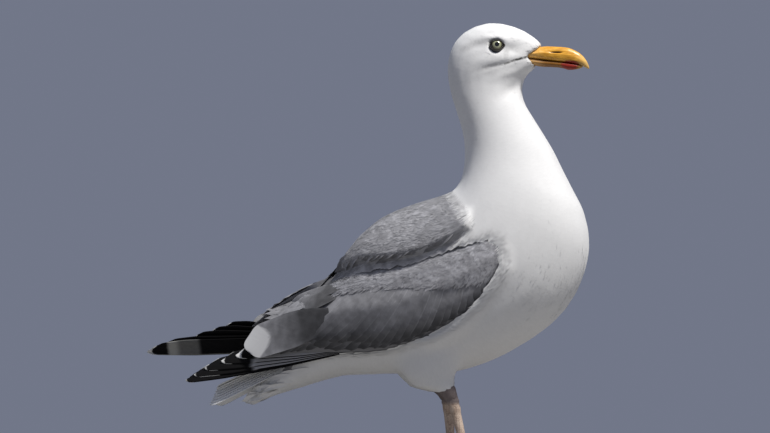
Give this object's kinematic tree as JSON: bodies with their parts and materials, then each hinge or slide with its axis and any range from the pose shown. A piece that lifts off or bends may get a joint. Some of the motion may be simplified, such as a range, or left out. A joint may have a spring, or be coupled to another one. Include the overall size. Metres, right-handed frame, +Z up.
{
  "type": "standing gull figure",
  "caption": "Life-size standing adult gull with folded grey wings, dark wing tips, webbed feet and a hooked bill.",
  "frame": {"origin": "centre of the bounding box at floor level, under the bird", "axes": "+X the way the bird faces, from tail to bill; +Y to its left; +Z up from the floor"},
  "size_m": [0.4536, 0.138, 0.4454],
  "materials": {
    "white_feather": "soft white contour feathers",
    "grey_feather": "soft blue-grey wing and mantle feathers",
    "black_feather": "smooth black flight feathers with pale tips",
    "horn": "waxy yellow bill horn",
    "eye": "wet pale eye",
    "leg_skin": "scaly pinkish leg skin",
    "claw": "dark claw horn"
  },
  "bodies": {
    "root": {"head": "white_feather", "neck": "white_feather", "trunk": "white_feather", "tail": "white_feather", "wing_right": "grey_feather", "wing_left": "grey_feather", "primaries_right": "black_feather", "primaries_left": "black_feather", "bill_upper": "horn", "bill_lower": "horn", "eye_right": "eye", "eye_left": "eye", "thigh_right": "white_feather", "thigh_left": "white_feather", "shank_right": "leg_skin", "shank_left": "leg_skin", "foot_right": "leg_skin", "foot_left": "leg_skin", "claw_right_inner": "claw", "claw_right_middle": "claw", "claw_right_outer": "claw", "claw_right_hind": "claw", "claw_left_inner": "claw", "claw_left_middle": "claw", "claw_left_outer": "claw", "claw_left_hind": "claw"}
  },
  "joints": []
}
